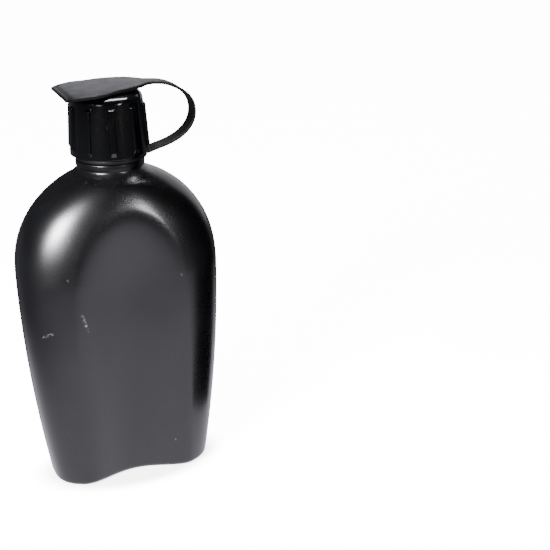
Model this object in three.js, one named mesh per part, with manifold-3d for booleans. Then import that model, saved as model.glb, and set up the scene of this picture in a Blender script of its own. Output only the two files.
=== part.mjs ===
// A one-litre field canteen. A blow-moulded bottle of kidney section carries a ribbed screw cap
// with a drinking valve in it. A rubber cover lies on the cap, and its strap runs down to a ring
// that turns round the neck. Millimetres, Z up. The base stands on Z = 0, the neck's axis is the
// Z axis, the hollow side of the bottle faces -Y and the strap loops out towards +X.
import * as THREE from 'three';
import { mergeVertices } from 'three/addons/utils/BufferGeometryUtils.js';
import Module from 'manifold-3d';

const wasm = await Module();
wasm.setup();

// ---------------------------------------------------------------- driving dimensions

const GAP = 0.3; // clearance between pieces that rest on each other
const ROUND = 48; // segments round a turned piece

const BOTTLE = {
  halfWidth: 62.5, halfWidthAtBase: 50.5, // along X
  halfDepth: 35.9, halfDepthAtBase: 27.1, // along Y, before the front is hollowed
  shoulderStart: 140, neckRoot: 201.4, // heights
  sideBow: 1.9, // how fast the sides widen above the base
  shoulderX: { fall: 2.35, round: 1.43 }, // the shoulder's curve seen from the front
  shoulderY: { fall: 2.3, round: 1.55 }, // and seen from the side
  squareness: 2.85, // superellipse exponent of the section, easing to 2 at the neck
  hollowDepth: 11.3, hollowHalfWidth: 36.4, hollowFade: 1.8, // the front hollow and its flanks' curve
  archStart: 110, archRise: 76, // where the hollow begins to close into an arch, and the arch's height
  foot: 4, // radius round the base
  filletReach: 6.5, filletRise: 2.6, // the curve from the shoulder into the neck
  wall: 1.8, floor: 2.0,
};

const NECK = {
  root: 20.7, wall: 20.4, bore: 16.5, finish: 18.5, // radii
  beadBottom: 205.2, beadTop: 209.1, bead: 20.9,
  grooveBottom: 209.3, lip: 231.1,
};

const THREAD = { pitch: 5, turns: 1.25, height: 1.4, rootWidth: 2.0, crestWidth: 1.2, start: 219 };

const CAP = {
  rim: 212.3, rimRadius: 23.7, shoulder: 244.5, shoulderRadius: 21.8, top: 250.0,
  bore: 20.7, ledge: 235.1, upperBore: 19.6,
  plate: 2.0, socket: 8.8, // the top plate's thickness and the hole through it
};

const RIB = {
  count: 10, phase: 9.6, width: 4.2, crest: 3.2, proud: 1.4,
  bottom: 213.3, full: 216.8, taper: 240.8, top: 242.6,
};

const VALVE = {
  flange: 20.2, flangeBottom: 232.8, flangeTop: 234.8, sleeve: 11.0, seatHole: 4.5,
  seatBottom: 238.5, seatTop: 241.0, chamber: 8.0, cageBore: 9.0, cageBoreTop: 235.0,
};

const CAGE = {
  bottom: 225.0, floor: 1.5, wall: 6.9, outside: 7.8, flange: 8.7, guide: 2.0,
  ports: 6, portRadius: 0.95, portCircle: 4.5,
  windows: 6, window: 229.4, windowWidth: 2.4, windowHeight: 3.6,
};

const POPPET = {
  head: 6.3, headBottom: 235.1, headTop: 236.6, stem: 1.8, top: 242.5, tail: 1.6, bottom: 223.5,
};

const SPRING = { radius: 4.6, wire: 0.35, turns: 5 };

// The lipped ring in the socket: radii, and heights above its own underside.
const SEAL = { root: 5.9, lip: 5.6, crown: 7.2, lipBottom: 1.4, lipTop: 2.0, top: 3.0 };

// The cover from its pull tab to the strap: distance along X, height of its middle, half width.
const COVER = [
  [-28.4, 249.7, 17.8], [-26.5, 250.1, 19.6], [-23, 250.9, 21.6], [-17, 251.5, 23.3], [-11, 251.8, 23.2],
  [-4, 252.0, 21.6], [3, 252.2, 19.4], [10, 252.5, 17.1], [15, 252.6, 15.0], [19, 252.6, 12.2],
  [22, 252.6, 9.0], [24.2, 252.5, 7.2],
];
const COVER_LEAN = 1.2; // how far the tab's end lies to the +Y side
const COVER_THICKNESS = 2.0;

// The boss under the cover that closes the socket.
const PLUG = { radius: 8.0, tip: 7.4, bottom: 247.3, chamfer: 2.4, top: 251.4 };

// The strap's middle line in the XZ plane, from the cover round the loop to the ring.
const STRAP = [
  [24.8, 252.5], [28.3, 252.4], [34.0, 251.7], [39.5, 249.9], [44.8, 247.0], [49.5, 243.1], [52.5, 238.3],
  [53.4, 232.4], [52.1, 226.7], [48.9, 221.9], [44.3, 218.1], [38.9, 215.4], [33.4, 213.5], [28.6, 212.3],
  [25.6, 211.3], [22.9, 210.4],
];
const STRAP_WIDTH = 11.2;
const STRAP_THICKNESS = 1.8;
const STRAP_SPLIT = 0.42; // share of the strap that rides with the cap

const RING = { offset: 1.2, outside: 21.4, inside: 19.9, bottom: 209.4, top: 211.6 };

// ---------------------------------------------------------------- shape tools

function signedVolume(geometry) {
  const p = geometry.attributes.position;
  const index = geometry.index;
  const [a, b, c] = [new THREE.Vector3(), new THREE.Vector3(), new THREE.Vector3()];
  let volume = 0;
  for (let i = 0; i < index.count; i += 3) {
    a.fromBufferAttribute(p, index.getX(i));
    b.fromBufferAttribute(p, index.getX(i + 1));
    c.fromBufferAttribute(p, index.getX(i + 2));
    volume += a.dot(b.cross(c)) / 6;
  }
  return volume;
}

// Welds a closed surface and turns its faces outwards.
function closed(geometry) {
  geometry.deleteAttribute('normal');
  geometry.deleteAttribute('uv');
  const welded = mergeVertices(geometry, 1e-4);
  const kept = [];
  const old = welded.index.array;
  for (let i = 0; i < old.length; i += 3) {
    const [a, b, c] = [old[i], old[i + 1], old[i + 2]];
    if (a !== b && b !== c && c !== a) kept.push(a, b, c);
  }
  welded.setIndex(kept);
  if (signedVolume(welded) < 0) {
    for (let i = 0; i < kept.length; i += 3) [kept[i + 1], kept[i + 2]] = [kept[i + 2], kept[i + 1]];
    welded.setIndex(kept);
  }
  return welded;
}

// A solid through a row of rings with equal numbers of points, closed by a fan at each end.
function loft(rings) {
  const size = rings[0].length;
  const points = rings.flat();
  const middle = (ring) => ring.reduce((sum, p) => sum.add(p), new THREE.Vector3()).divideScalar(size);
  const first = points.push(middle(rings[0])) - 1;
  const last = points.push(middle(rings.at(-1))) - 1;
  const end = (rings.length - 1) * size;
  const faces = [];
  for (let i = 0; i < size; i++) {
    const next = (i + 1) % size;
    for (let row = 0; row < end; row += size) {
      faces.push(row + i, row + next, row + size + next, row + i, row + size + next, row + size + i);
    }
    faces.push(first, next, i, last, end + i, end + next);
  }
  const geometry = new THREE.BufferGeometry().setFromPoints(points);
  geometry.setIndex(faces);
  return closed(geometry);
}

// A turned solid: its profile is a closed run of [radius, height] corners.
function turned(profile, segments = ROUND) {
  const corners = [...profile, profile[0]].map(([r, z]) => new THREE.Vector2(r, z));
  return closed(new THREE.LatheGeometry(corners, segments).rotateX(Math.PI / 2));
}

function toSolid(geometry) {
  const vertProperties = new Float32Array(geometry.attributes.position.array);
  const triVerts = new Uint32Array(geometry.index.array);
  return new wasm.Manifold(new wasm.Mesh({ numProp: 3, vertProperties, triVerts }));
}

function toGeometry(solid) {
  const mesh = solid.getMesh();
  const geometry = new THREE.BufferGeometry();
  geometry.setAttribute('position', new THREE.BufferAttribute(mesh.vertProperties, 3));
  geometry.setIndex([...mesh.triVerts]);
  return geometry;
}

function joined(first, ...others) {
  return toGeometry(others.reduce((sum, piece) => sum.add(toSolid(piece)), toSolid(first)));
}

function cut(first, ...tools) {
  return toGeometry(tools.reduce((rest, tool) => rest.subtract(toSolid(tool)), toSolid(first)));
}

// A flat band of rectangular section along part of the strap's line.
function strapBand(from, to, steps) {
  const line = STRAP.map(([x, z]) => new THREE.Vector3(x, 0, z));
  const curve = new THREE.CatmullRomCurve3(line, false, 'centripetal');
  const rings = [];
  for (let i = 0; i <= steps; i++) {
    const share = from + ((to - from) * i) / steps;
    const place = curve.getPointAt(share);
    const along = curve.getTangentAt(share);
    const out = new THREE.Vector3(-along.z, 0, along.x).multiplyScalar(STRAP_THICKNESS / 2);
    const side = new THREE.Vector3(0, STRAP_WIDTH / 2, 0);
    rings.push([[1, 1], [-1, 1], [-1, -1], [1, -1]].map(([s, o]) => (
      place.clone().addScaledVector(side, s).addScaledVector(out, o))));
  }
  return loft(rings);
}

// ---------------------------------------------------------------- bottle

// Half width or half depth at a height, for the outside or for a skin set in from it.
function bottleHalf(z, base, full, neck, curve, root) {
  const { shoulderStart, sideBow } = BOTTLE;
  if (z < shoulderStart) return base + (full - base) * (1 - (1 - z / shoulderStart) ** sideBow);
  const t = Math.min((z - shoulderStart) / (root - shoulderStart), 1);
  return neck + (full - neck) * (1 - t ** curve.fall) ** (1 / curve.round);
}

function bottleRing(z, inset, segments) {
  const b = BOTTLE;
  const root = b.neckRoot - inset;
  const neck = inset ? NECK.bore + 0.2 : NECK.root;
  const low = inset ? b.floor : 0;
  const lift = Math.max(b.foot - (z - low), 0);
  const foot = b.foot - Math.sqrt(b.foot ** 2 - lift ** 2);
  const [baseX, fullX] = [b.halfWidthAtBase - inset, b.halfWidth - inset];
  const [baseY, fullY] = [b.halfDepthAtBase - inset, b.halfDepth - inset];
  const halfX = bottleHalf(z, baseX, fullX, neck, b.shoulderX, root) - foot;
  const halfY = bottleHalf(z, baseY, fullY, neck, b.shoulderY, root) - foot;
  const t = Math.min(Math.max((z - b.shoulderStart) / (root - b.shoulderStart), 0), 1);
  const power = 2 / (b.squareness + (2 - b.squareness) * t);
  const above = Math.max(z - b.archStart, 0) / b.archRise;
  return Array.from({ length: segments }, (_, i) => {
    const angle = (2 * Math.PI * i) / segments;
    const [c, s] = [Math.cos(angle), Math.sin(angle)];
    const x = halfX * Math.sign(c) * Math.abs(c) ** power;
    const y = halfY * Math.sign(s) * Math.abs(s) ** power;
    const reach = (x / b.hollowHalfWidth) ** 2 + above ** 3;
    const hollow = y < 0 ? b.hollowDepth * Math.max(1 - reach, 0) ** b.hollowFade : 0;
    return new THREE.Vector3(x, y + hollow, z);
  });
}

function circle(radius, z, segments) {
  return Array.from({ length: segments }, (_, i) => {
    const angle = (2 * Math.PI * i) / segments;
    return new THREE.Vector3(radius * Math.cos(angle), radius * Math.sin(angle), z);
  });
}

// Heights for the skin's rings: close together round the foot and near the neck.
function skinHeights(low, root) {
  const { foot, shoulderStart } = BOTTLE;
  const heights = [0, 30, 60, 90].map((degrees) => low + foot * (1 - Math.cos((degrees * Math.PI) / 180)));
  for (let i = 1; i <= 7; i++) heights.push(low + foot + ((shoulderStart - low - foot) * i) / 7);
  for (let i = 1; i <= 11; i++) {
    heights.push(shoulderStart + (root - shoulderStart) * Math.sin((i * Math.PI) / 22));
  }
  return heights;
}

// A screw thread's ridge: a tapered bar wound on a radius, outwards (1) or inwards (-1).
function ridge(radius, direction, start) {
  const { pitch, turns, height, rootWidth, crestWidth } = THREAD;
  const steps = Math.round(turns * 24);
  const buried = 0.4;
  const rings = [];
  for (let i = 0; i <= steps; i++) {
    const turn = (turns * i) / steps;
    const fade = Math.min(Math.min(i, steps - i) / 3, 1) * 0.9 + 0.1;
    const angle = 2 * Math.PI * turn;
    const corner = (out, up) => {
      const r = radius + direction * out;
      return new THREE.Vector3(r * Math.cos(angle), r * Math.sin(angle), start + pitch * turn + up);
    };
    rings.push([
      corner(-buried, -rootWidth / 2), corner(height * fade, -crestWidth / 2),
      corner(height * fade, crestWidth / 2), corner(-buried, rootWidth / 2),
    ]);
  }
  return loft(rings);
}

// Eases the shoulder's last rings into the neck with a concave curve, one upright strip at a time.
function easeIntoNeck(rings) {
  const { neckRoot, filletReach, filletRise } = BOTTLE;
  const risers = [0.65, 0.82, 1];
  const strips = rings.at(-1).map((corner, i) => {
    const strip = rings.map((ring) => ring[i]);
    const away = (point) => point.distanceTo(corner);
    const inside = strip.findIndex((point) => away(point) < filletReach);
    const [outer, inner] = [strip[inside - 1], strip[inside]];
    const share = (away(outer) - filletReach) / (away(outer) - away(inner));
    const start = outer.clone().lerp(inner, share);
    const end = corner.clone().multiplyScalar(NECK.wall / NECK.root).setZ(neckRoot + filletRise);
    const curve = new THREE.QuadraticBezierCurve3(start, corner, end);
    const eased = strip.slice(inside).map((point) => curve.getPoint(0.5 * (1 - away(point) / filletReach)));
    return [...strip.slice(0, inside), ...eased, ...risers.map((t) => curve.getPoint(t))];
  });
  return strips[0].map((_, row) => strips.map((strip) => strip[row]));
}

function bottleBody() {
  const segments = 56;
  const outer = skinHeights(0, BOTTLE.neckRoot).map((z) => bottleRing(z, 0, segments));
  const n = NECK;
  const neck = [
    [n.wall, n.beadBottom], [n.bead, n.beadBottom + 0.6], [n.bead, n.beadTop - 0.6],
    [n.bead - 0.5, n.beadTop], [n.finish, n.grooveBottom], [n.finish, n.lip - 0.6],
    [n.finish - 0.6, n.lip], [n.bore + 0.5, n.lip], [n.bore, n.lip - 0.5], [n.bore, BOTTLE.neckRoot],
  ].map(([r, z]) => circle(r, z, segments));
  const heights = skinHeights(BOTTLE.floor, BOTTLE.neckRoot - BOTTLE.wall).reverse();
  const inner = heights.map((z) => bottleRing(z, BOTTLE.wall, segments));
  const skin = loft([...easeIntoNeck(outer), ...neck, ...inner]);
  return joined(skin, ridge(n.finish, 1, THREAD.start));
}

// ---------------------------------------------------------------- cap

function rib(number) {
  const angle = ((RIB.phase + (360 / RIB.count) * number) * Math.PI) / 180;
  const slope = (CAP.shoulderRadius - CAP.rimRadius) / (CAP.shoulder - CAP.rim);
  const wallAt = (z) => CAP.rimRadius + slope * (z - CAP.rim);
  const inside = 1.2;
  const stations = [[RIB.bottom, 0], [RIB.full, RIB.proud], [RIB.taper, RIB.proud], [RIB.top, 0]];
  const rings = stations.map(([z, proud]) => {
    const wall = wallAt(z);
    const section = [
      [-inside, -RIB.width], [proud, -RIB.crest], [proud, RIB.crest], [-inside, RIB.width],
    ];
    return section.map(([out, side]) => {
      const corner = new THREE.Vector3(wall + out, side / 2, z);
      return corner.applyAxisAngle(new THREE.Vector3(0, 0, 1), angle);
    });
  });
  return loft(rings);
}

// Corners of a quarter circle in a turned profile, from its side up to its top.
function quarter(centre, height, radius, steps) {
  return Array.from({ length: steps + 1 }, (_, i) => {
    const angle = (Math.PI * i) / (2 * steps);
    return [centre + radius * Math.cos(angle), height + radius * Math.sin(angle)];
  });
}

function capShell() {
  const c = CAP;
  const outerRound = c.top - c.shoulder;
  const innerRound = outerRound - c.plate;
  const shell = turned([
    [c.rimRadius - 0.4, c.rim], [c.rimRadius, c.rim + 0.4],
    ...quarter(c.shoulderRadius - outerRound, c.shoulder, outerRound, 7),
    [c.socket + 0.5, c.top], [c.socket, c.top - 0.5],
    [c.socket, c.top - c.plate],
    ...quarter(c.upperBore - innerRound, c.shoulder, innerRound, 4).reverse(),
    [c.upperBore, c.ledge], [c.bore, c.ledge], [c.bore, c.rim + 0.8], [c.bore + 0.8, c.rim],
  ]);
  const ribs = Array.from({ length: RIB.count }, (_, i) => rib(i));
  // The cap's ridge runs just under the bottle's, so tightening pulls the cap down.
  const below = (THREAD.rootWidth + THREAD.crestWidth) / 2 + 0.25;
  return joined(shell, ...ribs, ridge(c.bore, -1, THREAD.start - below));
}

function mouthGasket() {
  const [bottom, top] = [NECK.lip + GAP, VALVE.flangeBottom - GAP];
  const [inside, outside] = [NECK.bore - 0.8, NECK.finish + 1.4];
  return turned([[inside, bottom], [outside, bottom], [outside, top], [inside, top]]);
}

// ---------------------------------------------------------------- drinking valve

function valveBody() {
  const v = VALVE;
  const top = CAP.top - CAP.plate - GAP;
  return turned([
    [v.cageBore, v.flangeBottom], [v.flange, v.flangeBottom], [v.flange, v.flangeTop - GAP],
    [v.sleeve + 1.2, v.flangeTop], [v.sleeve, v.flangeTop + 1.2], [v.sleeve, top], [CAP.socket, top],
    [CAP.socket, v.seatTop], [v.seatHole, v.seatTop], [v.seatHole, v.seatBottom], [v.chamber, v.seatBottom],
    [v.chamber, v.cageBoreTop], [v.cageBore, v.cageBoreTop],
  ]);
}

function couplingSeal() {
  const s = SEAL;
  const bottom = VALVE.seatTop + GAP;
  const outside = CAP.socket - GAP;
  return turned([
    [s.root, bottom], [outside, bottom], [outside, bottom + s.top], [s.crown, bottom + s.top],
    [s.lip, bottom + s.lipTop], [s.lip, bottom + s.lipBottom],
  ]);
}

function valvePoppet() {
  const p = POPPET;
  return turned([
    [0, p.bottom], [p.tail - 0.5, p.bottom], [p.tail, p.bottom + 0.8], [p.tail, p.headBottom],
    [p.head, p.headBottom], [p.head, p.headTop], [p.stem, p.headTop], [p.stem, p.top - 0.6],
    [p.stem - 0.6, p.top], [0, p.top],
  ], 24);
}

function poppetSeal() {
  const wire = 0.6;
  return closed(new THREE.TorusGeometry(5.2, wire, 8, 24).translate(0, 0, POPPET.headTop + GAP + wire));
}

function valveSpring() {
  const s = SPRING;
  const bottom = CAGE.bottom + CAGE.floor + GAP + s.wire;
  const top = POPPET.headBottom - GAP - s.wire;
  const steps = s.turns * 12;
  const rings = Array.from({ length: steps + 1 }, (_, i) => {
    const angle = (2 * Math.PI * s.turns * i) / steps;
    const z = bottom + ((top - bottom) * i) / steps;
    return Array.from({ length: 6 }, (_, k) => {
      const around = (2 * Math.PI * k) / 6;
      const r = s.radius + s.wire * Math.cos(around);
      return new THREE.Vector3(r * Math.cos(angle), r * Math.sin(angle), z + s.wire * Math.sin(around));
    });
  });
  return loft(rings);
}

function springCage() {
  const c = CAGE;
  const top = VALVE.flangeTop - GAP;
  const shelf = VALVE.flangeBottom;
  const cup = turned([
    [c.guide, c.bottom], [c.outside, c.bottom], [c.outside, shelf], [c.flange, shelf],
    [c.flange, top], [c.wall, top], [c.wall, c.bottom + c.floor], [c.guide, c.bottom + c.floor],
  ], 36);
  const ports = Array.from({ length: c.ports }, (_, i) => {
    const angle = (2 * Math.PI * i) / c.ports;
    const port = new THREE.CylinderGeometry(c.portRadius, c.portRadius, 4, 12).rotateX(Math.PI / 2);
    port.translate(c.portCircle * Math.cos(angle), c.portCircle * Math.sin(angle), c.bottom + c.floor / 2);
    return closed(port);
  });
  // Each slot crosses the cup and opens two windows.
  const windows = Array.from({ length: c.windows / 2 }, (_, i) => {
    const slot = new THREE.BoxGeometry(3 * c.wall, c.windowWidth, c.windowHeight);
    return closed(slot.rotateZ((2 * Math.PI * i) / c.windows).translate(0, 0, c.window));
  });
  return cut(cup, ...ports, ...windows);
}

// ---------------------------------------------------------------- cover, strap and ring

// A flat sheet with a slightly rounded upper edge, and the plug under it.
function coverFlap() {
  const half = COVER_THICKNESS / 2;
  const edge = 0.6;
  const [tip, root] = [COVER[0][0], COVER.at(-1)[0]];
  const rings = COVER.map(([x, z, side]) => {
    const lean = (COVER_LEAN * (root - x)) / (root - tip);
    const section = [
      [side, half - edge], [side - edge, half], [-side + edge, half], [-side, half - edge], [-side, -half],
      [side, -half],
    ];
    return section.map(([y, up]) => new THREE.Vector3(x, y + lean, z + up));
  });
  const p = PLUG;
  const plug = turned([
    [0, p.bottom], [p.tip, p.bottom], [p.radius, p.bottom + p.chamfer], [p.radius, p.top], [0, p.top],
  ], 32);
  return joined(loft(rings), plug);
}

function tetherRing() {
  const r = RING;
  const edge = 0.4;
  return turned([
    [r.inside, r.bottom], [r.outside - edge, r.bottom], [r.outside, r.bottom + edge],
    [r.outside, r.top - edge], [r.outside - edge, r.top], [r.inside, r.top],
  ]).translate(r.offset, 0, 0);
}

// ---------------------------------------------------------------- assembly

const MATERIALS = {
  bottle: new THREE.MeshStandardMaterial({ color: 0x16191a, roughness: 0.38, metalness: 0 }),
  cap: new THREE.MeshStandardMaterial({ color: 0x111416, roughness: 0.28, metalness: 0 }),
  valve: new THREE.MeshStandardMaterial({ color: 0x202325, roughness: 0.45, metalness: 0 }),
  cover: new THREE.MeshStandardMaterial({ color: 0x3a3b3e, roughness: 0.7, metalness: 0 }),
  rubber: new THREE.MeshStandardMaterial({ color: 0x1c1c1d, roughness: 0.8, metalness: 0 }),
  steel: new THREE.MeshStandardMaterial({ color: 0xb4b6b8, roughness: 0.3, metalness: 1 }),
};

function piece(name, geometry, material) {
  const mesh = new THREE.Mesh(geometry, MATERIALS[material]);
  mesh.name = name;
  return mesh;
}

const poppet = new THREE.Group();
poppet.add(piece('valve_poppet', valvePoppet(), 'valve'));
poppet.add(piece('poppet_seal', poppetSeal(), 'rubber'));

const cover = new THREE.Group();
cover.add(piece('cover_flap', coverFlap(), 'cover'));

const cap = new THREE.Group();
cap.add(piece('cap_shell', capShell(), 'cap'));
cap.add(piece('mouth_gasket', mouthGasket(), 'rubber'));
cap.add(piece('valve_body', valveBody(), 'valve'));
cap.add(piece('coupling_seal', couplingSeal(), 'rubber'));
cap.add(piece('spring_cage', springCage(), 'valve'));
cap.add(piece('valve_spring', valveSpring(), 'steel'));
cap.add(piece('strap_upper', strapBand(0, STRAP_SPLIT, 14), 'cover'));
cap.add(poppet, cover);

const tether = new THREE.Group();
tether.add(piece('tether_ring', tetherRing(), 'cover'));
tether.add(piece('strap_lower', strapBand(STRAP_SPLIT + 0.004, 1, 20), 'cover'));
tether.add(cap);

const canteen = new THREE.Group();
canteen.add(piece('bottle_body', bottleBody(), 'bottle'));
canteen.add(tether);

export default canteen;
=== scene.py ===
"""A black field canteen with a ribbed drinking cap, a rubber cover, its strap and its tether ring.

Meshes and stage surfaces are written in millimetres, in the part's own frame, and become metres as
they are made.
"""
import math

import bpy
import numpy as np
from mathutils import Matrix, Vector


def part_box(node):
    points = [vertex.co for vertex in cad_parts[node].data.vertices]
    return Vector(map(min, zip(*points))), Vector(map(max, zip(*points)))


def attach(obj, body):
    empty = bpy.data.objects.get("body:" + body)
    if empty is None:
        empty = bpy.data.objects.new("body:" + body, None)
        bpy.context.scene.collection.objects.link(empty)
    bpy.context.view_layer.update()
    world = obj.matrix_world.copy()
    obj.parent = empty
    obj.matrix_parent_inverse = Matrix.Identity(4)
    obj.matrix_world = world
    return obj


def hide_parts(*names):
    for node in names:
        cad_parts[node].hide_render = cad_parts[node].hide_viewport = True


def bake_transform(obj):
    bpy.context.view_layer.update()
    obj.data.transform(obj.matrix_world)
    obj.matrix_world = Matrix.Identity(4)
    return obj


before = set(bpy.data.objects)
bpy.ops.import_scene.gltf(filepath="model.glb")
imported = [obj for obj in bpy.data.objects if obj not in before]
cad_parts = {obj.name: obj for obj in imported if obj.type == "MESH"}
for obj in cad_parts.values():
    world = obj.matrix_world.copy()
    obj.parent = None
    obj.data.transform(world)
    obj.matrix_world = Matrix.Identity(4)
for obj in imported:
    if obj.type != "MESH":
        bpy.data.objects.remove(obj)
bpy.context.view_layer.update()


# ---------------------------------------------------------------- dimensions

def box(node):
    """A CAD node's lowest and highest corner, in millimetres."""
    return [[round(1000 * value, 3) for value in corner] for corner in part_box(node)]


# Bottle: its outline to the shoulder, the curve from there to the neck, and its walls.
HALF_WIDTH, HALF_DEPTH, LIP = box("bottle_body")[1]
HALF_WIDTH_BASE, HALF_DEPTH_BASE = 50.5, 27.1
SHOULDER, NECK_ROOT, SIDE_BOW, SQUARENESS = 140.0, 201.4, 1.9, 2.85
WIDTH_FALL, WIDTH_ROUND = 2.35, 1.43
DEPTH_FALL, DEPTH_ROUND = 2.3, 1.55
FOOT, WALL, FLOOR, SEAM = 4.0, 1.8, 2.0, 0.16

# The hollow in the bottle's front.
HOLLOW, HOLLOW_HALF, HOLLOW_START, HOLLOW_RISE, HOLLOW_FADE = 11.3, 36.4, 110.0, 76.0, 1.8

# Neck: radii, the rounding at its root, the bead, and the screw ridge that the cap has too.
NECK_R, NECK_WALL, NECK_BORE, FINISH_R = 20.7, 20.4, 16.5, 18.5
FILLET_REACH, FILLET_RISE = 6.5, 2.6
BEAD, BEAD_BOTTOM, BEAD_TOP = 20.9, 205.2, 209.1
PITCH, TURNS, RIDGE, RIDGE_ROOT, RIDGE_CREST, THREAD_START = 5.0, 1.25, 1.4, 2.0, 1.2, 219.0

# Cap: radii and heights from the rim up, then its ribs.
RIM, CAP_TOP = (corner[2] for corner in box("cap_shell"))
RIM_R, CAP_SHOULDER, SHOULDER_R, CAP_EDGE = 23.7, 244.5, 21.8, 5.5
BORE, LEDGE, UPPER_BORE, SOCKET, PLATE = 20.7, 235.1, 19.6, 8.8, 2.0
RIBS, RIB_PHASE, RIB_HALF, RIB_SIDE, RIB_PROUD = 10, 9.6, 1.9, 0.55, 1.4
RIB_BOTTOM, RIB_FULL, RIB_END, RIB_TOP = 214.4, 217.2, 1.5, 242.7

# Cover, from its pull tab to the strap: distance along X, height of its middle, half width.
COVER = np.array([
    [-28.4, 249.7, 17.8], [-27.9, 249.8, 18.5], [-26.5, 250.1, 19.6], [-23, 250.9, 21.6],
    [-17, 251.5, 23.3], [-11, 251.8, 23.2], [-4, 252.0, 21.6], [3, 252.2, 19.4], [10, 252.5, 17.1],
    [15, 252.6, 15.0], [19, 252.6, 12.2], [22, 252.6, 9.0], [24.8, 252.5, 6.7], [28.3, 252.4, 5.6],
])
COVER_THICK, COVER_LEAN, COVER_SAG, TAB_CORNER, TAB_BLUNT = 2.0, 1.2, 0.9, 1.0, 0.5

# Strap, from the cover to the ring: X and height of its middle.
STRAP = np.array([
    [28.3, 252.4], [34.0, 251.7], [39.5, 249.9], [44.8, 247.0], [49.5, 243.1], [52.5, 238.3],
    [53.4, 232.4], [52.1, 226.7], [48.9, 221.9], [44.3, 218.1], [38.9, 215.4], [33.4, 213.5],
    [28.6, 212.3], [25.6, 211.3], [23.6, 210.7], [21.6, 210.5],
])
STRAP_THICK, STRAP_HALF, SHEET_EDGE = 1.8, 5.6, 0.5
RING_OFFSET, RING_OUT, RING_IN = 1.2, 21.4, 19.9
RING_BOTTOM, RING_TOP = (corner[2] for corner in box("tether_ring"))


# ---------------------------------------------------------------- mesh tools

def smoothstep(a, b, v):
    t = np.clip((np.asarray(v, float) - a) / (b - a), 0, 1)
    return t * t * (3 - 2 * t)


def make(name, verts, faces, angle=38):
    """A mesh object from millimetre points, smooth where its faces meet at less than the angle."""
    mesh = bpy.data.meshes.new(name)
    mesh.from_pydata((np.asarray(verts, float) / 1000).tolist(), [], faces)
    mesh.validate()
    mesh.update()
    obj = bpy.data.objects.new(name, mesh)
    bpy.context.scene.collection.objects.link(obj)
    mesh.shade_smooth()
    mesh.set_sharp_from_angle(angle=math.radians(angle))
    return obj


def skin(rings, capped=True):
    """Points and faces of a tube through rings of equal length, with or without end faces."""
    rings = np.asarray(rings, float)
    rows, size = rings.shape[:2]
    faces = []
    for r in range(rows - 1):
        for i in range(size):
            j = (i + 1) % size
            faces.append((r * size + i, r * size + j, (r + 1) * size + j, (r + 1) * size + i))
    if capped:
        faces.append(tuple(reversed(range(size))))
        faces.append(tuple((rows - 1) * size + i for i in range(size)))
    return rings.reshape(-1, 3), faces


def merged(*parts):
    """Several sets of points and faces as one."""
    verts, faces, base = [], [], 0
    for v, f in parts:
        verts.append(np.asarray(v, float))
        faces += [tuple(base + i for i in face) for face in f]
        base += len(v)
    return np.vstack(verts), faces


def circles(profile, angle, centre=0.0):
    """One ring round the Z axis for each [radius, height] point."""
    return [np.c_[centre + r * np.cos(angle), r * np.sin(angle), np.full(len(angle), z)]
            for r, z in profile]


def lathe(profile, segments=192, centre=0.0):
    """A surface turned round the Z axis from [radius, height] points."""
    angle = np.linspace(0, 2 * math.pi, segments, endpoint=False)
    return skin(circles(profile, angle, centre), capped=False)


def rounded(points, radius=0.35, steps=4, loop=False):
    """A run of [r, z] corners with every inner corner rounded."""
    p = np.asarray(points, float)
    n = len(p)
    out = []
    for i in range(n):
        if not loop and i in (0, n - 1):
            out.append(p[i])
            continue
        a, b, c = p[(i - 1) % n], p[i], p[(i + 1) % n]
        la, lc = np.linalg.norm(a - b), np.linalg.norm(c - b)
        cut = min(radius, la * 0.45, lc * 0.45)
        start, end = b + (a - b) / la * cut, b + (c - b) / lc * cut
        for k in range(steps + 1):
            t = k / steps
            out.append((1 - t) ** 2 * start + 2 * t * (1 - t) * b + t * t * end)
    return np.array(out)


def quarter(centre, radius, height, steps):
    """A quarter circle of [r, z] points, from its outermost point to its top."""
    turn = np.linspace(0, math.pi / 2, steps + 1)
    return list(zip(centre + radius * np.cos(turn), height + radius * np.sin(turn)))


def spline(points, count):
    """Evenly spaced points and unit tangents along a smooth curve through the points."""
    p = np.asarray(points, float)
    padded = np.vstack([2 * p[0] - p[1], p, 2 * p[-1] - p[-2]])
    fine = []
    for i in range(1, len(padded) - 2):
        p0, p1, p2, p3 = padded[i - 1:i + 3]
        t = np.linspace(0, 1, 24, endpoint=False)[:, None]
        fine.append(0.5 * (2 * p1 + (p2 - p0) * t + (2 * p0 - 5 * p1 + 4 * p2 - p3) * t ** 2
                           + (3 * p1 - p0 - 3 * p2 + p3) * t ** 3))
    fine = np.vstack(fine + [p[-1:]])
    length = np.r_[0, np.cumsum(np.linalg.norm(np.diff(fine, axis=0), axis=1))]
    at = np.linspace(0, length[-1], count)
    line = np.column_stack([np.interp(at, length, fine[:, k]) for k in range(p.shape[1])])
    tangent = np.gradient(line, axis=0)
    return line, tangent / np.linalg.norm(tangent, axis=1)[:, None]


def sheet_section(half, thick, across, steps=5):
    """The outline of a flat band's section: [across, up], with rounded edges."""
    r = min(SHEET_EDGE, thick * 0.49)
    outline = []
    for sx, sz, start in ((1, 1, 0), (-1, 1, 90), (-1, -1, 180), (1, -1, 270)):
        for k in range(steps + 1):
            a = math.radians(start + 90 * k / steps)
            outline.append((sx * (half - r) + r * math.cos(a), sz * (thick / 2 - r) + r * math.sin(a)))
        if start in (0, 180):
            flat = [sx * (half - r) * (1 - 2 * k / across) for k in range(1, across)]
            outline += [(x, sz * thick / 2) for x in flat]
    return np.array(outline)


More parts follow.
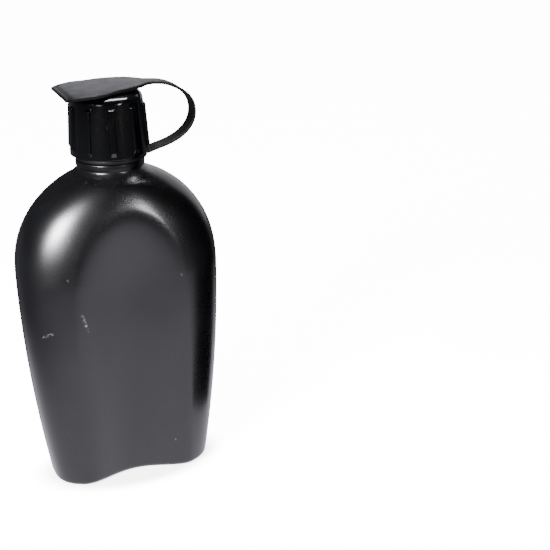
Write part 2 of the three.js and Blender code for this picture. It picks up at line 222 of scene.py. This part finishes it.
def screw_ridge(radius, direction, start):
    """A screw ridge wound on a radius, outwards (1) or inwards (-1)."""
    steps = int(TURNS * 96)
    root = -0.3
    section = rounded([(root, -RIDGE_ROOT / 2), (RIDGE, -RIDGE_CREST / 2), (RIDGE, RIDGE_CREST / 2),
                       (root, RIDGE_ROOT / 2)], 0.3, 3)
    rings = []
    for i in range(steps + 1):
        turn = TURNS * i / steps
        fade = min(min(i, steps - i) / 12, 1) * 0.95 + 0.05
        a = 2 * math.pi * turn
        ring = []
        for out, up in section:
            r = radius + direction * (out * fade if out > 0 else out)
            ring.append((r * math.cos(a), r * math.sin(a), start + PITCH * turn + up))
        rings.append(ring)
    return skin(rings)


# ---------------------------------------------------------------- bottle

def bottle_half(z, base, full, neck, fall, roundness, root):
    """Half the bottle's width or depth at a height."""
    if z < SHOULDER:
        return base + (full - base) * (1 - (1 - z / SHOULDER) ** SIDE_BOW)
    t = min((z - SHOULDER) / (root - SHOULDER), 1)
    return neck + (full - neck) * (1 - t ** fall) ** (1 / roundness)


def hollow(x, z):
    """How far the hollow is pressed in at a width and height: a gutter that ends in an arch."""
    above = max(z - HOLLOW_START, 0) / HOLLOW_RISE
    edge = (x / HOLLOW_HALF) ** 2 + above ** 3
    return HOLLOW * np.clip(1 - edge, 0, 1) ** HOLLOW_FADE


def bottle_ring(z, inset, angle, seam=0.0):
    """The bottle's section at a height: outside with no inset, inside with the wall as inset."""
    low, root = (FLOOR if inset else 0), NECK_ROOT - inset
    neck = NECK_BORE + 0.2 if inset else NECK_R
    lift = max(FOOT - (z - low), 0)
    foot = FOOT - math.sqrt(FOOT ** 2 - lift ** 2)
    width, depth = HALF_WIDTH - inset, HALF_DEPTH - inset
    hx = bottle_half(z, HALF_WIDTH_BASE - inset, width, neck, WIDTH_FALL, WIDTH_ROUND, root) - foot
    hy = bottle_half(z, HALF_DEPTH_BASE - inset, depth, neck, DEPTH_FALL, DEPTH_ROUND, root) - foot
    t = min(max((z - SHOULDER) / (root - SHOULDER), 0), 1)
    power = 2 / (SQUARENESS + (2 - SQUARENESS) * t)
    c, s = np.cos(angle), np.sin(angle)
    x = hx * np.sign(c) * np.abs(c) ** power
    y = hy * np.sign(s) * np.abs(s) ** power
    y = np.where(y < 0, y + hollow(x, z), y)
    if seam:
        x = x + np.sign(x) * seam * np.exp(-(y / 0.42) ** 2) * (np.abs(x) > hx * 0.9)
    return np.c_[x, y, np.full(len(angle), z)]


def ease_into_neck(rings, unit):
    """Rounds the inside corner between the shoulder's last rings and the neck."""
    rings = np.array(rings)
    corner = rings[-1]
    top = np.c_[unit * NECK_WALL, np.full(len(unit), NECK_ROOT + FILLET_RISE)]
    away = np.linalg.norm(rings - corner, axis=2)
    start = np.array([[np.interp(FILLET_REACH, away[::-1, i], rings[::-1, i, k]) for k in range(3)]
                      for i in range(len(unit))])

    def bend(t):
        return (1 - t) ** 2 * start + 2 * t * (1 - t) * corner + t * t * top

    for row in range(len(rings)):
        t = 0.5 * (1 - away[row] / FILLET_REACH)[:, None]
        rings[row] = np.where(t > 0, bend(np.maximum(t, 0)), rings[row])
    return list(rings) + [bend(t) for t in np.linspace(0.5, 1, 8)[1:]]


def even_angles(count):
    """Angles that put a section's points at about even distances, with extra ones at the seams."""
    t = np.linspace(0, 2 * math.pi, 4000)
    ring = bottle_ring(90, 0, t)
    weight = np.r_[0, np.linalg.norm(np.diff(ring, axis=0), axis=1)]
    weight *= 1 + 5 * np.exp(-(ring[:, 1] / 1.6) ** 2)
    total = np.cumsum(weight)
    return np.interp(np.linspace(0, total[-1], count, endpoint=False), total, t)


def heights(low, root, count):
    """Heights of the bottle's rings: close together at the rounded foot and near the neck."""
    foot = [low + FOOT * (1 - math.cos(math.radians(d))) for d in np.linspace(0, 90, 10)]
    side = list(np.linspace(low + FOOT, SHOULDER, count)[1:])
    rise = np.linspace(0, 90, count)[1:]
    return foot + side + [SHOULDER + (root - SHOULDER) * math.sin(math.radians(d)) for d in rise]


def seam_at(z):
    """How far the moulding seam stands out at a height."""
    return SEAM * float(smoothstep(2, 8, z) * (1 - smoothstep(196, 201, z)))


def bottle():
    angle = even_angles(360)
    rings = [bottle_ring(z, 0, angle, seam_at(z)) for z in heights(0, NECK_ROOT, 46)]
    underside = [rings[0] * [k, k, 1] for k in (0.02, 0.5, 0.85)]
    turn = np.arctan2(rings[-1][:, 1], rings[-1][:, 0])
    unit = np.c_[np.cos(turn), np.sin(turn)]
    neck = rounded([
        (NECK_WALL, NECK_ROOT + FILLET_RISE), (NECK_WALL, BEAD_BOTTOM), (BEAD, BEAD_BOTTOM + 0.6),
        (BEAD, BEAD_TOP - 0.5), (BEAD - 0.6, BEAD_TOP), (FINISH_R, BEAD_TOP + 0.2), (FINISH_R, LIP),
        (NECK_BORE, LIP), (NECK_BORE, NECK_ROOT),
    ], 0.5, 5)
    outer = underside + ease_into_neck(rings, unit) + circles(neck[1:], turn)
    inner = [bottle_ring(z, WALL, angle) for z in heights(FLOOR, NECK_ROOT - WALL, 14)]
    verts, faces = merged(skin(outer + inner[::-1]), screw_ridge(FINISH_R, 1, THREAD_START))
    return make("bottle", verts, faces, 50)


# ---------------------------------------------------------------- cap

def cap():
    angle = np.linspace(0, 2 * math.pi, 720, endpoint=False)
    pitch = 2 * math.pi / RIBS
    away = np.abs((angle - math.radians(RIB_PHASE) + pitch / 2) % pitch - pitch / 2)
    slope = (SHOULDER_R - RIM_R) / (CAP_SHOULDER - RIM)

    def ribbed(z):
        """The cap's ring at a height, with the ribs standing out of its sloping wall."""
        wall = RIM_R + slope * (z - RIM)
        side = away * wall
        across = 1 - smoothstep(RIB_HALF - RIB_SIDE, RIB_HALF, side)
        crown = 1 - 0.12 * np.clip(side / RIB_HALF, 0, 1) ** 2
        end = np.clip((RIB_TOP - z) / RIB_END, 0, 1)
        top = math.sqrt(1 - (1 - end) ** 2)
        low = float(smoothstep(RIB_BOTTOM, RIB_FULL, z))
        r = wall + RIB_PROUD * across * crown * top * low
        return np.c_[r * np.cos(angle), r * np.sin(angle), np.full(len(angle), z)]

    rim = rounded([(BORE + 0.7, RIM), (RIM_R - 0.05, RIM), (RIM_R - 0.02, RIM + 1.0)], 0.45, 4)[1:-1]
    levels = np.r_[np.linspace(RIM + 0.6, 217.5, 9), np.linspace(219, 240.6, 14),
                   np.linspace(241.0, RIB_TOP, 9), 243.4]
    edge = quarter(SHOULDER_R - CAP_EDGE, CAP_EDGE, CAP_SHOULDER, 16)
    inner_edge = CAP_EDGE - PLATE
    inside = quarter(UPPER_BORE - inner_edge, inner_edge, CAP_SHOULDER, 6)[::-1]
    top = rounded([
        (SHOULDER_R - CAP_EDGE, CAP_TOP), (SOCKET + 0.7, CAP_TOP), (SOCKET, CAP_TOP - 0.6),
        (SOCKET, CAP_TOP - PLATE), *inside, (UPPER_BORE, LEDGE), (BORE, LEDGE), (BORE, RIM + 0.9),
        (BORE + 0.9, RIM),
    ], 0.45, 4)[1:]
    rings = circles(rim, angle) + [ribbed(z) for z in levels] + circles([*edge, *top], angle)
    below = (RIDGE_ROOT + RIDGE_CREST) / 2 + 0.25
    shell = skin(rings, capped=False)
    verts, faces = merged(shell, screw_ridge(BORE, -1, THREAD_START - below))
    return make("cap", verts, faces, 55)


# ---------------------------------------------------------------- cover, strap and ring

def cover():
    """The flap from its tab to where it has become the strap, with the plug under it."""
    tip, far = COVER[0, 0], COVER[-1, 0]
    x = np.r_[np.linspace(tip, tip + 0.5, 7), np.linspace(tip + 0.7, tip + 2, 8),
              np.linspace(tip + 2.2, far, 150)]
    line, _ = spline(COVER, 400)
    z = np.interp(x, line[:, 0], line[:, 1])
    half = np.interp(x, line[:, 0], line[:, 2])
    # The tab's straight end has small rounded corners.
    end = np.clip(x - tip, 0, TAB_CORNER)
    full = np.interp(tip + TAB_CORNER, line[:, 0], line[:, 2])
    corner = full - TAB_CORNER + np.sqrt(TAB_CORNER ** 2 - (TAB_CORNER - end) ** 2)
    half = np.where(x < tip + TAB_CORNER, corner, half)
    rings = []
    for xi, zi, hi in zip(x, z, half):
        blunt = 0.5 + 0.5 * math.sqrt(1 - max(1 - (xi - tip) / TAB_BLUNT, 0) ** 2)
        thick = COVER_THICK + (STRAP_THICK - COVER_THICK) * float(smoothstep(18, 27, xi))
        section = sheet_section(hi, thick * blunt, 40)
        sag = COVER_SAG * (1 - float(smoothstep(-10, 6, xi)))
        droop = sag * np.clip((np.abs(section[:, 0]) - 12) / 10, 0, 1) ** 2
        lean = COVER_LEAN * (far - xi) / (far - tip)
        rings.append(np.c_[np.full(len(section), xi), section[:, 0] + lean, zi + section[:, 1] - droop])
    plug = lathe(rounded([(0.05, 247.3), (7.4, 247.3), (8.0, 249.6), (8.0, 251.6)], 0.5, 4), 96)
    verts, faces = merged(skin(rings), plug)
    return make("cover", verts, faces, 50)


def strap():
    """The strap from the cover down to the ring, and the ring."""
    line, tangent = spline(STRAP, 170)
    section = sheet_section(STRAP_HALF, STRAP_THICK, 16)
    rings = []
    for (x, z), (tx, tz) in zip(line, tangent):
        rings.append([(x - tz * up, side, z + tx * up) for side, up in section])
    outline = rounded([
        (RING_IN, RING_BOTTOM), (RING_OUT, RING_BOTTOM), (RING_OUT, RING_TOP), (RING_IN, RING_TOP),
    ], 0.55, 5, loop=True)
    ring = lathe([*outline, outline[0]], 256, RING_OFFSET)
    verts, faces = merged(skin(rings), ring)
    return make("strap", verts, faces, 50)


# ---------------------------------------------------------------- drinking valve

def valve_sleeve():
    outline = rounded([
        (9.0, 232.8), (20.2, 232.8), (20.2, 234.5), (12.2, 234.8), (11.0, 236.0), (11.0, 247.7),
        (8.8, 247.7), (8.8, 241.0), (4.5, 241.0), (4.5, 238.5), (8.0, 238.5), (8.0, 235.0),
        (9.0, 235.0),
    ], 0.3, 3, loop=True)
    return make("valve_sleeve", *lathe([*outline, (9.0, 232.9)], 128), 40)


def coupling_lip():
    outline = rounded([
        (5.9, 241.3), (8.5, 241.3), (8.5, 244.3), (7.2, 244.3), (5.6, 243.3), (5.6, 242.7),
    ], 0.35, 4, loop=True)
    return make("coupling_lip", *lathe([*outline, (5.95, 241.35)], 128), 40)


def valve_stem():
    outline = rounded([
        (0.02, 223.5), (1.6, 223.5), (1.6, 235.1), (6.3, 235.1), (6.3, 236.6), (1.8, 236.6),
        (1.8, 242.5), (0.02, 242.5),
    ], 0.4, 4)
    return make("valve_stem", *lathe(outline, 96), 40)


# ---------------------------------------------------------------- material tools

class Graph:
    """A node tree, with one short call for each kind of node that is used here."""

    def __init__(self, tree):
        self.nodes, self.links = tree.nodes, tree.links

    def set(self, socket, value):
        """Links another node's output to a socket, or stores a plain value on it."""
        if isinstance(value, bpy.types.NodeSocket):
            self.links.new(value, socket)
        else:
            socket.default_value = value

    def add(self, kind, inputs=None, **settings):
        node = self.nodes.new("ShaderNode" + kind)
        for key, value in settings.items():
            setattr(node, key, value)
        for key, value in (inputs or {}).items():
            self.set(node.inputs[key], value)
        return node

    def place(self, scale=(1, 1, 1)):
        """Object coordinates, in metres, times the scale."""
        coords = self.add("TexCoord").outputs["Object"]
        return self.add("Mapping", {"Vector": coords, "Scale": scale}).outputs["Vector"]

    def noise(self, where, scale, detail, rough=0.55, distortion=0.0):
        return self.add("TexNoise", {
            "Vector": where, "Scale": scale, "Detail": detail, "Roughness": rough,
            "Distortion": distortion,
        }).outputs["Fac"]

    def ramp(self, value, low, high, out_low=0.0, out_high=1.0):
        """A smooth run from out_low to out_high as the value goes from low to high."""
        return self.add("MapRange", {
            "Value": value, "From Min": low, "From Max": high, "To Min": out_low, "To Max": out_high,
        }, interpolation_type="SMOOTHSTEP").outputs["Result"]

    def maths(self, kind, a, b=0.0, clamp=False):
        return self.add("Math", {0: a, 1: b}, operation=kind, use_clamp=clamp).outputs[0]

    def vector(self, kind, a, b=(0, 0, 0)):
        """A vector operation; b is a number for SCALE."""
        node = self.add("VectorMath", {0: a, "Scale" if kind == "SCALE" else 1: b}, operation=kind)
        return node.outputs["Value" if kind in ("DOT_PRODUCT", "LENGTH", "DISTANCE") else "Vector"]

    def z_of(self, vector):
        return self.add("SeparateXYZ", {"Vector": vector}).outputs["Z"]

    def tint(self, share, low, high):
        """A colour between two others, each a plain colour or another tint."""
        low, high = (c if isinstance(c, bpy.types.NodeSocket) else (*c, 1) for c in (low, high))
        mix = self.add("Mix", {"Factor": share, "A": low, "B": high}, data_type="RGBA")
        return mix.outputs["Result"]

    def bump(self, height, distance, strength, below=None):
        """A surface normal roughened by a height in metres, on top of the one below."""
        inputs = {"Height": height, "Distance": distance, "Strength": strength}
        if below is not None:
            inputs["Normal"] = below
        return self.add("Bump", inputs).outputs["Normal"]


class Finish(Graph):
    """A material on the standard surface shader."""

    def __init__(self, name, colour, roughness, **inputs):
        self.material = bpy.data.materials.new(name)
        self.material.use_nodes = True
        super().__init__(self.material.node_tree)
        self.shader = self.nodes["Principled BSDF"]
        self.surface(Base_Color=(*colour, 1), Roughness=roughness, **inputs)

    def surface(self, **inputs):
        """Sets the surface shader's inputs, where a _ in a name stands for a space."""
        for key, value in inputs.items():
            self.set(self.shader.inputs[key.replace("_", " ")], value)


def scratches(g, where, scale, angle, width):
    """Thin broken lines: the narrow zero band of a stretched noise."""
    turned = g.add("Mapping", {"Vector": where, "Rotation": (0.3, angle, 0.2), "Scale": (1, 1, 1 / 14)})
    line = g.noise(turned.outputs["Vector"], scale, 2, 0.4, 0.3)
    away = g.maths("ABSOLUTE", g.maths("SUBTRACT", line, 0.5))
    patch = g.noise(where, scale * 0.35, 3, 0.6)
    return g.maths("MULTIPLY", g.ramp(away, 0.0, width, 1, 0), g.ramp(patch, 0.60, 0.70))


def stroke(g, where, start, end, width):
    """A soft-ended mark from start to end, in millimetres."""
    a, b = Vector(start) / 1000, Vector(end) / 1000
    line = b - a
    away = g.vector("SUBTRACT", where, a)
    share = g.maths("DIVIDE", g.vector("DOT_PRODUCT", away, line), line.length_squared, clamp=True)
    foot = g.vector("SCALE", line, share)
    distance = g.vector("LENGTH", g.vector("SUBTRACT", away, foot))
    return g.ramp(distance, width * 0.0003, width * 0.001, 1, 0)


# ---------------------------------------------------------------- materials

# Marks on the bottle from use: both ends, width in millimetres, and how light the mark is.
MARKS = [
    ((-31.5, -33.1, 122.2), (-28.4, -32.3, 111.4), 1.3, 0.75),
    ((-30.9, -33.0, 118.0), (-29.4, -32.6, 113.0), 0.9, 0.5),
    ((-54.1, -23.6, 108.6), (-49.3, -27.4, 111.3), 1.2, 0.5),
    ((-38.7, -31.9, 146.3), (-38.3, -31.9, 145.7), 0.9, 0.8),
    ((31.2, -33.3, 139.3), (31.8, -33.3, 138.7), 0.8, 0.6),
    ((24.6, -25.1, 22.1), (25.2, -25.1, 21.5), 0.9, 0.7),
]


def bottle_plastic():
    """Satin polyethylene with a fine grain, hair scratches and a few light marks."""
    g = Finish("bottle_plastic", (0.0012, 0.0013, 0.0016), 0.29)
    where = g.place()
    broad = g.noise(where, 22, 3)
    grain = g.noise(where, 900, 3, 0.6)
    fine = g.maths("MAXIMUM", scratches(g, where, 190, 0.9, 0.005), scratches(g, where, 230, -0.7, 0.004))
    marks = 0.0
    for start, end, width, light in MARKS:
        mark = g.maths("MULTIPLY", stroke(g, where, start, end, width), light)
        marks = g.maths("MAXIMUM", marks, mark)
    broken = g.ramp(g.noise(where, 380, 5, 0.75, 1.2), 0.44, 0.66)
    marks = g.maths("MULTIPLY", marks, broken)
    scuffs = g.maths("MAXIMUM", fine, marks)
    colour = g.tint(g.ramp(broad, 0.35, 0.7), (0.0009, 0.0010, 0.0012), (0.0016, 0.0017, 0.0020))
    colour = g.tint(g.maths("MULTIPLY", fine, 0.04), colour, (0.12, 0.12, 0.125))
    colour = g.tint(marks, colour, (0.16, 0.155, 0.15))
    rough = g.ramp(broad, 0.3, 0.75, 0.255, 0.295)
    soft = g.bump(g.noise(where, 70, 3), 0.00010, 0.4)
    height = g.maths("SUBTRACT", grain, g.maths("MULTIPLY", scuffs, 0.2))
    g.surface(Base_Color=colour, Normal=g.bump(height, 0.00003, 0.6, soft),
              Roughness=g.maths("ADD", rough, g.maths("MULTIPLY", scuffs, 0.08)))
    return g.material


def cap_plastic():
    """A glossier plastic than the bottle's, scuffed by hands."""
    g = Finish("cap_plastic", (0.0010, 0.0012, 0.0014), 0.2)
    where = g.place()
    scuffs = g.maths("MAXIMUM", scratches(g, where, 300, 0.5, 0.010), scratches(g, where, 220, 1.9, 0.008))
    share = g.maths("MULTIPLY", scuffs, 0.15)
    g.surface(Base_Color=g.tint(share, (0.0010, 0.0012, 0.0014), (0.1, 0.1, 0.105)),
              Roughness=g.ramp(g.noise(where, 45, 3), 0.3, 0.75, 0.13, 0.18),
              Normal=g.bump(g.noise(where, 260, 3), 0.00005, 0.5))
    return g.material


def cover_rubber():
    """Dull rubber, lighter on the level parts at the top: partly the dust that lies there, partly a
    painted sheen of the light that falls on them.
    """
    g = Finish("cover_rubber", (0.003, 0.003, 0.0034), 0.5, Specular_IOR_Level=0.22)
    where = g.place()
    broad = g.noise(where, 40, 3)
    dust_and_sheen = g.ramp(g.noise(where, 160, 5, 0.7), 0.3, 0.75, 0.45, 1.0)
    # Painted sheen and dust: level faces at the top of the cover are mixed towards a lighter grey.
    level = g.ramp(g.z_of(g.add("NewGeometry").outputs["Normal"]), 0.95, 0.999)
    at_top = g.ramp(g.z_of(where), 0.243, 0.249)
    share = g.maths("MULTIPLY", dust_and_sheen, g.maths("MULTIPLY", level, at_top))
    soft = g.bump(broad, 0.0002, 0.4)
    g.surface(Base_Color=g.tint(share, (0.0016, 0.0017, 0.0019), (0.030, 0.0312, 0.0320)),
              Roughness=g.ramp(broad, 0.3, 0.7, 0.46, 0.58),
              Normal=g.bump(g.noise(where, 1400, 3, 0.65), 0.00006, 0.7, soft))
    return g.material


def mottled(name, colour, scale, rough, grain, depth):
    """A plain moulded material: patchy in its roughness, with a fine grain."""
    g = Finish(name, colour, rough[0])
    where = g.place()
    g.surface(Roughness=g.ramp(g.noise(where, scale, 3), 0.3, 0.7, *rough),
              Normal=g.bump(g.noise(where, grain, 3), depth, 0.6))
    return g.material


def spring_steel():
    """Bright wire with drawing marks along it."""
    g = Finish("spring_steel", (0.6, 0.6, 0.59), 0.22, Metallic=1.0)
    g.surface(Roughness=g.ramp(g.noise(g.place((1, 1, 6)), 600, 3), 0.3, 0.7, 0.16, 0.3))
    return g.material


# ---------------------------------------------------------------- build

BOTTLE_MAT, CAP_MAT, COVER_MAT = bottle_plastic(), cap_plastic(), cover_rubber()
RUBBER = mottled("seal_rubber", (0.018, 0.018, 0.018), 300, (0.6, 0.8), 1500, 0.00004)
VALVE = mottled("valve_plastic", (0.012, 0.013, 0.014), 120, (0.34, 0.46), 900, 0.00003)
STEEL = spring_steel()


def finish_piece(obj, mat, nodes):
    obj.data.materials.append(mat)
    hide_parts(*nodes)
    return obj


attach(finish_piece(bottle(), BOTTLE_MAT, ["bottle_body"]), "bottle")
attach(finish_piece(cap(), CAP_MAT, ["cap_shell"]), "cap")

flap = finish_piece(cover(), COVER_MAT, ["cover_flap"])
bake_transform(flap)

tail = finish_piece(strap(), COVER_MAT, ["strap_upper", "strap_lower", "tether_ring"])
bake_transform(tail)

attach(finish_piece(valve_sleeve(), VALVE, ["valve_body"]), "cap")
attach(finish_piece(coupling_lip(), RUBBER, ["coupling_seal"]), "cap")
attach(finish_piece(valve_stem(), VALVE, ["valve_poppet"]), "poppet")

kept = {"mouth_gasket": RUBBER, "poppet_seal": RUBBER, "spring_cage": VALVE, "valve_spring": STEEL}
for node, mat in kept.items():
    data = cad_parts[node].data
    data.materials.clear()
    data.materials.append(mat)


# ---------------------------------------------------------------- studio

MIDDLE, CAP_MIDDLE = (0, 0, 0.16), (0, 0, 0.25)

# Name, azimuth, elevation, distance, size, radiance, and the point that the light faces.
LIGHTS = [
    ("softbox_left", -50, 24, 1.3, (0.34, 0.38), 290, MIDDLE),
    ("softbox_left_low", -37, 9, 1.3, (0.36, 0.22), 8, MIDDLE),
    ("softbox_right", 26, 13, 1.3, (0.14, 0.30), 75, MIDDLE),
    ("softbox_top", 8, 64, 0.3, (0.5, 0.075), 52, CAP_MIDDLE),
    ("softbox_back", 142, 14, 1.6, (1.9, 1.1), 1.1, MIDDLE),
]
LIGHT_COLOUR, GLOW_COLOUR, FLOOR_COLOUR = (0.97, 0.95, 1), (0.93, 0.90, 1, 1), (0.98, 0.97, 1, 1)
SKY_COLOUR, SKY_BRIGHT_SIDE, WHITE = (0.96, 0.93, 1, 1), (-0.75, -0.25, 0.6), (1, 1, 1, 1)
GLOW_CENTRE, GLOW_NEAR, GLOW_FAR, GLOW_BRIGHT, GLOW_DIM = (0.07, -0.12, 0), 0.08, 0.47, 2.05, 0.13
# Reach of the painted shadow round the foot on the floor, in metres.
FOOT_SHADE = (0.056, 0.033)


def aimed(obj, azimuth, elevation, distance, at):
    """Puts an object round a point, facing it. Azimuth 0 is in front, at -Y, and 90 is at +X."""
    a, e = math.radians(azimuth), math.radians(elevation)
    away = Vector((math.sin(a) * math.cos(e), -math.cos(a) * math.cos(e), math.sin(e)))
    obj.location = Vector(at) + away * distance
    obj.rotation_euler = (-away).to_track_quat("-Z", "Y").to_euler()
    bpy.context.scene.collection.objects.link(obj)
    return obj


def softbox(name, azimuth, elevation, distance, size, radiance, at):
    light = bpy.data.lights.new(name, "AREA")
    light.shape = "RECTANGLE"
    light.size, light.size_y = size
    light.energy = radiance * math.pi * size[0] * size[1]
    light.color = LIGHT_COLOUR
    aimed(bpy.data.objects.new(name, light), azimuth, elevation, distance, at)


def stage_piece(name, points, mat, seen_by):
    """A stage surface that only the named kinds of ray meet."""
    piece = make(name, points, [tuple(range(len(points)))])
    piece.data.materials.append(mat)
    for kind in ("camera", "diffuse", "glossy", "transmission", "shadow"):
        setattr(piece, "visible_" + kind, kind in seen_by)


def bounce_glow():
    """The lit floor as the object's sides see it: bright close to the object, dim further out."""
    g = Finish("floor_bounce", (0.0, 0.0, 0.0), 1.0, Emission_Color=GLOW_COLOUR)
    distance = g.vector("DISTANCE", g.place(), GLOW_CENTRE)
    g.surface(Emission_Strength=g.ramp(distance, GLOW_NEAR, GLOW_FAR, GLOW_BRIGHT, GLOW_DIM))
    return g.material


def pale_floor():
    """The floor as the camera sees it: nearly white, with a painted shadow round the object's foot, where
    its glow is weaker.
    """
    g = Finish("studio_floor", (0.8, 0.8, 0.8), 0.7, Emission_Color=FLOOR_COLOUR)
    distance = g.vector("LENGTH", g.place((1 / FOOT_SHADE[0], 1 / FOOT_SHADE[1], 0)))
    # Painted shadow: the floor's glow drops towards the foot.
    g.surface(Emission_Strength=g.ramp(distance, 0.85, 1.22, 3.5, 14))
    return g.material


def square(size, z):
    return [(-size, -size, z), (size, -size, z), (size, size, z), (-size, size, z)]


def build_stage():
    """The floor, and the black surfaces that only reflections and shadows meet."""
    stage_piece("floor", square(4000, -0.05), pale_floor(), ("camera", "shadow"))
    stage_piece("floor_bounce", square(3000, -0.06), bounce_glow(), ("diffuse", "glossy"))
    black = Finish("flag", (0, 0, 0), 1.0, Specular_IOR_Level=0.0).material
    # A flag beside the object.
    side, along, up = Vector((0.927, -0.375, 0)), Vector((0.375, 0.927, 0)), Vector((0, 0, 1))
    flag = [side * 105 + along * a + up * z for a, z in ((-30, 1), (41, 1), (41, 235), (-30, 235))]
    stage_piece("flag", flag, black, ("glossy",))
    # A card that keeps the top light off the bottle's shoulder.
    card = [(-120, -37, 275), (120, -37, 275), (120, -240, 275), (-120, -240, 275)]
    stage_piece("card", card, black, ("glossy", "shadow"))


def studio_world():
    """Dim light from all round, a little brighter from the upper left, and a white backdrop."""
    world = bpy.data.worlds.new("studio")
    bpy.context.scene.world = world
    world.use_nodes = True
    g = Graph(world.node_tree)
    towards = g.vector("DOT_PRODUCT", g.add("TexCoord").outputs["Generated"], SKY_BRIGHT_SIDE)
    sky = g.nodes["Background"]
    g.set(sky.inputs["Color"], SKY_COLOUR)
    g.set(sky.inputs["Strength"], g.ramp(towards, -0.5, 1.0, 0.03, 0.09))
    backdrop = g.add("Background", {"Color": WHITE, "Strength": 18.0})
    either = g.add("MixShader", {
        0: g.add("LightPath").outputs["Is Camera Ray"], 1: sky.outputs["Background"],
        2: backdrop.outputs["Background"],
    })
    g.set(g.nodes["World Output"].inputs["Surface"], either.outputs["Shader"])


def studio_camera():
    """A camera that looks down on the object from the front left, with a slight roll."""
    data = bpy.data.cameras.new("camera")
    data.sensor_width, data.lens = 36, 78.55
    data.clip_start, data.clip_end = 0.05, 50
    camera = aimed(bpy.data.objects.new("camera", data), -22.15, 21.38, 0.7979, (0.1067, 0, 0.1146))
    camera.rotation_euler.rotate_axis("Z", math.radians(-0.85))
    bpy.context.scene.camera = camera


build_stage()
for light in LIGHTS:
    softbox(*light)
studio_world()
studio_camera()
